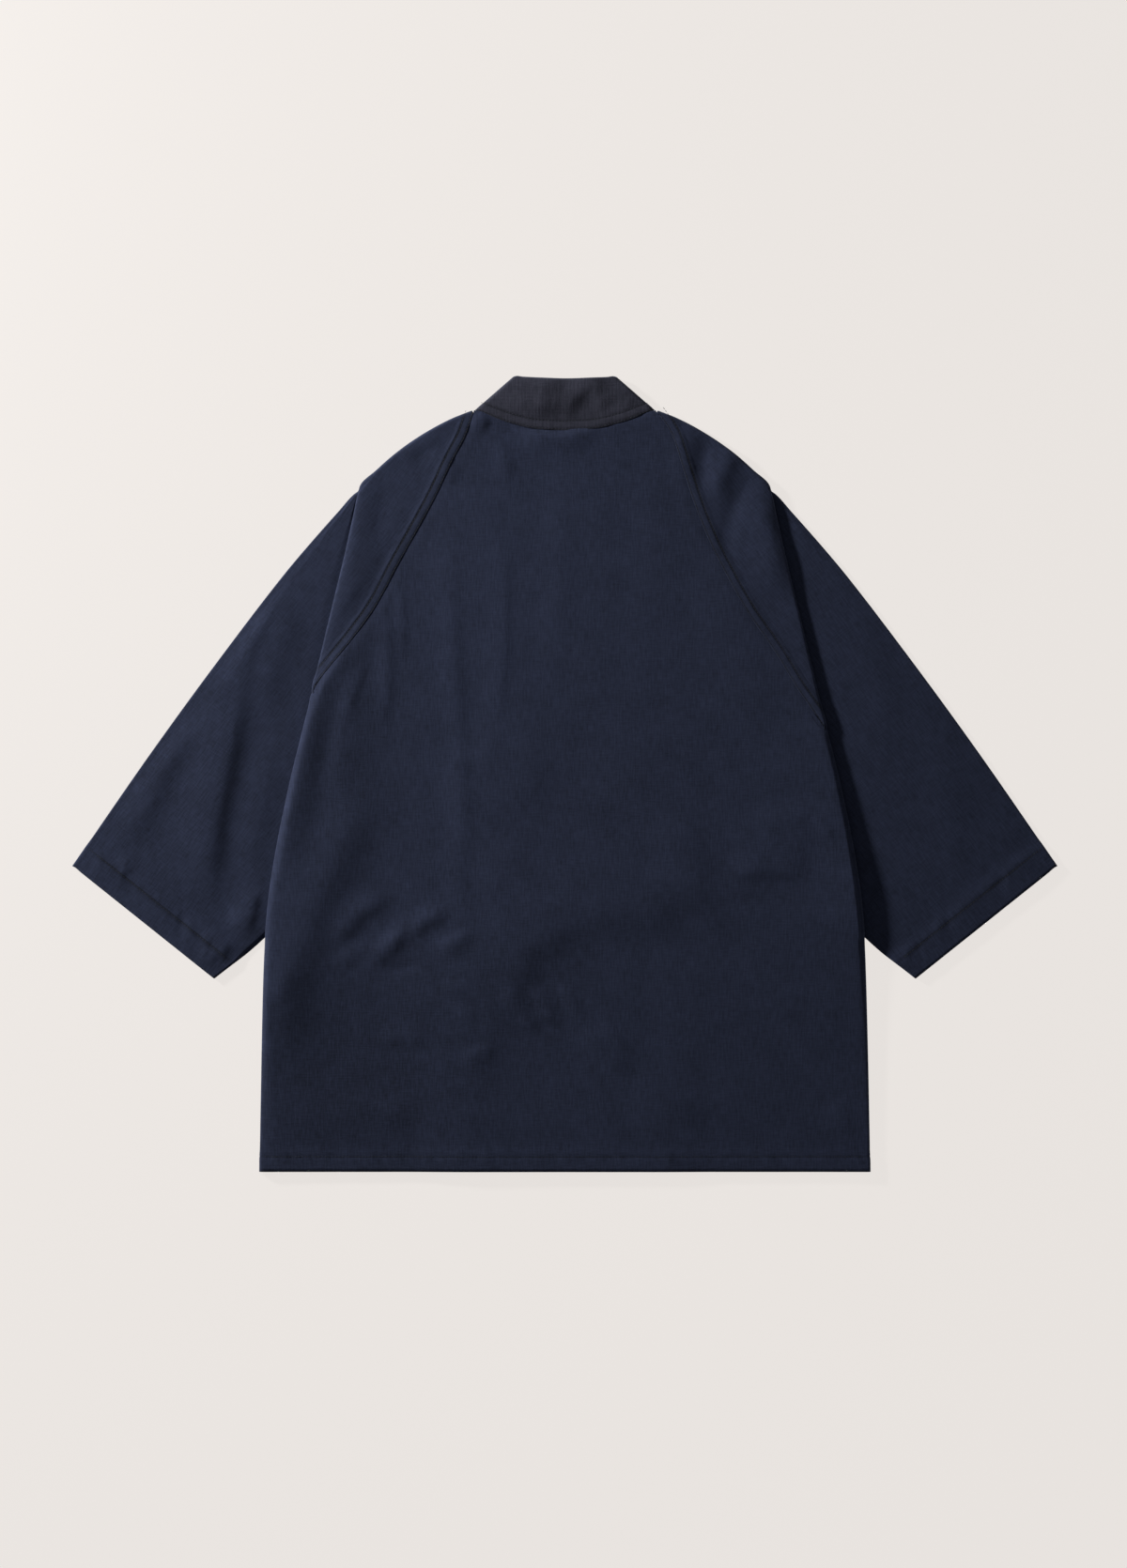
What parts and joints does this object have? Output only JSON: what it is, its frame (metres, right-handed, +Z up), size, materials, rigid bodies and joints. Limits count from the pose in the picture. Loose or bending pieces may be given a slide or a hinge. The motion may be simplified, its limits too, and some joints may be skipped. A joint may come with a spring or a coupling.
{
  "type": "noragi jacket laid flat",
  "caption": "Open-fronted cotton work jacket with raglan sleeves and a band collar, laid flat with its back up.",
  "frame": {"origin": "on the surface it lies on, under the middle of the laid-out jacket", "axes": "+Z up from that surface and out of the jacket's back, +Y towards the collar, +X to the wearer's right sleeve"},
  "size_m": [1.0062, 0.812, 0.0126],
  "materials": {
    "body_cloth": "dark navy slubbed cotton, matt",
    "band_cloth": "charcoal navy twill, a little greyer than the body"
  },
  "bodies": {
    "root": {"back": "body_cloth", "sleeve_left": "body_cloth", "sleeve_right": "body_cloth", "front_left": "body_cloth", "front_right": "body_cloth", "collar_band": "band_cloth"}
  },
  "joints": []
}
